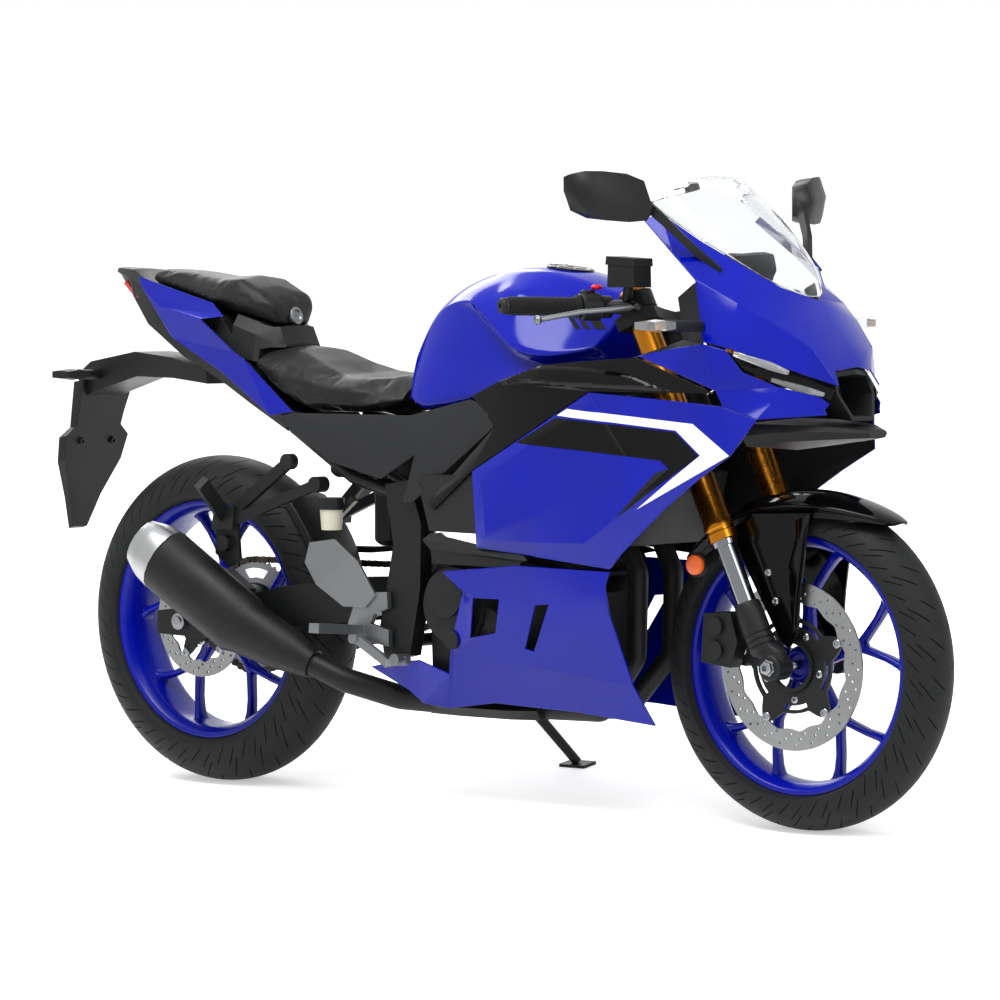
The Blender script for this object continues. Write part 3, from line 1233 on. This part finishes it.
def drive_chain():
    """Every link of the chain: paired plates, rollers and pins."""
    low_r, high_r = CHAIN_REAR_R, CHAIN_FRONT_R
    dx, dz = FRONT_SPROCKET[0], FRONT_SPROCKET[1] - REAR_R
    span, tilt = math.hypot(dx, dz), math.atan2(dz, dx)
    spread = math.acos((low_r - high_r) / span)
    rear_arc, front_arc = low_r * (2 * math.pi - 2 * spread), high_r * 2 * spread
    run = span * math.sin(spread)
    total = rear_arc + front_arc + 2 * run

    def behind(a):
        return Vector((low_r * math.cos(a), 0, REAR_R + low_r * math.sin(a)))

    def ahead(a):
        return Vector((dx + high_r * math.cos(a), 0, REAR_R + dz + high_r * math.sin(a)))

    def on_loop(s):
        """The point at a distance along the chain, from where its upper run meets the rear sprocket."""
        if s < rear_arc:
            return behind(tilt + spread + s / low_r)
        s -= rear_arc
        if s < run:
            return behind(tilt - spread).lerp(ahead(tilt - spread), s / run)
        s -= run
        if s < front_arc:
            return ahead(tilt - spread + s / high_r)
        return ahead(tilt + spread).lerp(behind(tilt + spread), (s - front_arc) / run)

    form = Form()
    links = round(total / CHAIN_PITCH)
    pins = [on_loop(total * k / links) for k in range(links)]
    for k, a in enumerate(pins):
        b = pins[(k + 1) % links]
        way = (b - a).normalized()
        up = Vector((-way.z, 0, way.x))
        mid = (a + b) / 2
        half = (b - a).length / 2
        outline = []
        for end in (1, -1):
            outline += [mid + way * (end * half) + (way * math.cos(t) * end + up * math.sin(t) * end) * 6.6
                        for t in (-1.57, -0.8, 0.0, 0.8, 1.57)]
            outline.append(mid + up * (end * 4.6))
        outer = 6.4 if k % 2 else 4.4
        for side in (-1, 1):
            near, far = CHAIN_W + side * outer, CHAIN_W + side * (outer - 1.9)
            form.loft([[Vector((p.x, near, p.z)) for p in outline], [Vector((p.x, far, p.z)) for p in outline]])
        form.turned((a.x, CHAIN_W - 6.9, a.z), (a.x, CHAIN_W + 6.9, a.z),
                    [(0, 2.4), (2, 2.5), (2.6, 4.6), (11.2, 4.6), (11.8, 2.5), (13.8, 2.4)], 0, 10)
    return form.put("chain_links", "chassis", [oiled_chain], ("drive_chain",), sharp=40)


SHOCK = ((472, 0, 432), (518, 0, 618))
COILS = 7


class AddEngine(bpy.types.Operator):
    """Dresses the engine, exhaust and radiator, and makes the chain and the spring"""
    bl_idname = "sport_bike.engine"
    bl_label = "Engine"

    def execute(self, context):
        for node in ("engine_block", "engine_covers"):
            dressed(node, [cast_black])
        dressed("radiator", [cast_black])
        dressed("exhaust_headers", [heat_paint])
        dressed("silencer", [heat_paint], sharp=50)
        dressed("silencer_tip", [brushed_steel], sharp=60)
        drive_chain()
        spring = Form()
        low, high = (Vector(end) for end in SHOCK)
        way = (high - low).normalized()
        across = Vector((0, 1, 0))
        up = way.cross(across)
        steps = COILS * 14
        line = []
        for k in range(steps + 1):
            a = 2 * math.pi * k / 14
            line.append(low + way * (42.0 + 112.0 * k / steps) + (across * math.cos(a) + up * math.sin(a)) * 25)
        spring.path(line, 6.0, 0, 10, 1)
        spring.turned(low, high, [(0, 14), (30, 14), (32, 30), (40, 31), (42, 20), (150, 20), (152, 31), (162, 30),
                                  (164, 15), (190, 14)], 1, 36)
        for p in (low, high):
            spring.rod((p.x, -20, p.z), (p.x, 20, p.z), 15.5, 1)
        spring.put("shock_and_spring", "chassis", [spring_enamel, cast_black], ("rear_shock",))
        return {"FINISHED"}


# Stage

CAMERA_TARGET = Vector((0.690, 0.0, 0.600))  # on the upright bike, metres
CAMERA_AZIMUTH, CAMERA_ELEVATION = 38.922, 2.386
CAMERA_AWAY, CAMERA_LENS = 9.045, 176.9
CAMERA_SHIFT = (-0.00383, -0.0212)


class AddStage(bpy.types.Operator):
    """Makes the floor, the lamps, the sky and the camera"""
    bl_idname = "sport_bike.stage"
    bl_label = "Stage"

    def execute(self, context):
        scene = context.scene
        scene.view_settings.view_transform = "Standard"
        low, high = CAD_BOX
        size = (high - low).length
        bpy.ops.mesh.primitive_plane_add(size=size * 12, location=(0, 0, 0))
        floor = context.object
        floor.name = "floor"
        floor.data.materials.append(pale_floor())
        sky()
        for name, place, aim, size_m, power in LAMPS:
            lamp = bpy.data.lights.new(name, "AREA")
            lamp.shape, lamp.size, lamp.size_y, lamp.energy = "RECTANGLE", size_m[0], size_m[1], power
            holder = bpy.data.objects.new(name, lamp)
            holder.location = place
            holder.rotation_euler = (Vector(aim) - Vector(place)).to_track_quat("-Z", "Y").to_euler()
            scene.collection.objects.link(holder)
        lens = bpy.data.cameras.new("camera")
        lens.lens, lens.sensor_width = CAMERA_LENS, 36.0
        lens.shift_x, lens.shift_y = CAMERA_SHIFT
        lens.clip_end = 100.0
        camera = bpy.data.objects.new("camera", lens)
        a, e = math.radians(CAMERA_AZIMUTH), math.radians(CAMERA_ELEVATION)
        back = Vector((math.sin(a) * math.cos(e), -math.cos(a) * math.cos(e), math.sin(e)))
        look = (-back).to_track_quat("-Z", "Y").to_matrix().to_4x4()
        camera.matrix_world = STANDING @ (Matrix.Translation(CAMERA_TARGET + back * CAMERA_AWAY) @ look)
        scene.collection.objects.link(camera)
        scene.camera = camera
        return {"FINISHED"}


LAMPS = [  # name, place, aim, size, power
    ("overhead_right", (0.2, -1.5, 4.0), (0.1, 0, 0.6), (4.0, 1.5), 190),
    ("rear_left", (-3.4, 2.2, 3.0), (0, 0, 0.7), (3.0, 2.0), 110),
    ("front", (4.6, -0.6, 2.6), (0.6, 0, 0.6), (1.4, 2.0), 60),
]


def seen_rays(tree):
    """1 for rays that look at a surface: camera, glossy and transmission."""
    rays = add(tree, "LightPath")
    both = add(tree, "Math", {0: rays.outputs["Is Camera Ray"], 1: rays.outputs["Is Glossy Ray"]},
               operation="MAXIMUM")
    return add(tree, "Math", {0: both.outputs[0], 1: rays.outputs["Is Transmission Ray"]},
               operation="MAXIMUM").outputs[0]


def pale_floor():
    """Plain pale floor. Where it is looked at it glows a little, so that it is white beside its shadow."""
    material = bpy.data.materials.new("pale_floor")
    material.use_nodes = True
    tree = material.node_tree
    tree.nodes.clear()
    matte = add(tree, "BsdfDiffuse", {"Color": colour("F0F0F0")})
    glow = add(tree, "Emission", {"Color": colour("FFFFFF"), "Strength": 0.45})
    lit = add(tree, "AddShader", {0: matte.outputs[0], 1: glow.outputs[0]})
    mix = add(tree, "MixShader", {0: seen_rays(tree), 1: matte.outputs[0], 2: lit.outputs[0]})
    add(tree, "OutputMaterial", {"Surface": mix.outputs[0]})
    return material


def sky():
    """Soft studio light, brighter from above than from the sides; white where it is looked at."""
    world = bpy.data.worlds.new("studio")
    bpy.context.scene.world = world
    world.use_nodes = True
    tree = world.node_tree
    tree.nodes.clear()
    height = add(tree, "SeparateXYZ", {0: add(tree, "TexCoord").outputs["Generated"]}).outputs["Z"]
    level = add(tree, "MapRange", {"Value": height, "From Min": -0.1, "From Max": 0.9, "To Min": 0.3, "To Max": 0.85})
    soft = add(tree, "Background", {"Color": colour("FFFFFF"), "Strength": level.outputs["Result"]})
    white = add(tree, "Background", {"Color": colour("FFFFFF"), "Strength": 1.0})
    mix = add(tree, "MixShader", {0: seen_rays(tree), 1: soft.outputs[0], 2: white.outputs[0]})
    add(tree, "OutputWorld", {"Surface": mix.outputs[0]})


OPERATORS = (AddWheels, AddFork, AddMudguards, AddControls, AddTank, AddSeats, AddFairing, AddScreen, AddLamps,
             AddMirrors, AddChassis, AddEngine, AddStage)


class BikePanel(bpy.types.Panel):
    """Lists the bike's settings and its groups of pieces"""
    bl_idname = "VIEW3D_PT_sport_bike"
    bl_label = "Sport bike"
    bl_space_type = "VIEW_3D"
    bl_region_type = "UI"
    bl_category = "Sport bike"

    def draw(self, context):
        for name in ("paint_light", "paint_deep", "tread_repeats", "tread_depth", "seat_swell"):
            self.layout.prop(context.scene.sport_bike, name)
        for operator in OPERATORS:
            self.layout.operator(operator.bl_idname)


def register():
    for part in (BikeSettings, *OPERATORS, BikePanel):
        bpy.utils.register_class(part)
    bpy.types.Scene.sport_bike = PointerProperty(type=BikeSettings)


def unregister():
    del bpy.types.Scene.sport_bike
    for part in reversed((BikeSettings, *OPERATORS, BikePanel)):
        bpy.utils.unregister_class(part)


def main():
    register()
    for operator in OPERATORS:
        group, name = operator.bl_idname.split(".")
        getattr(getattr(bpy.ops, group), name)()


if __name__ == "__main__":
    main()
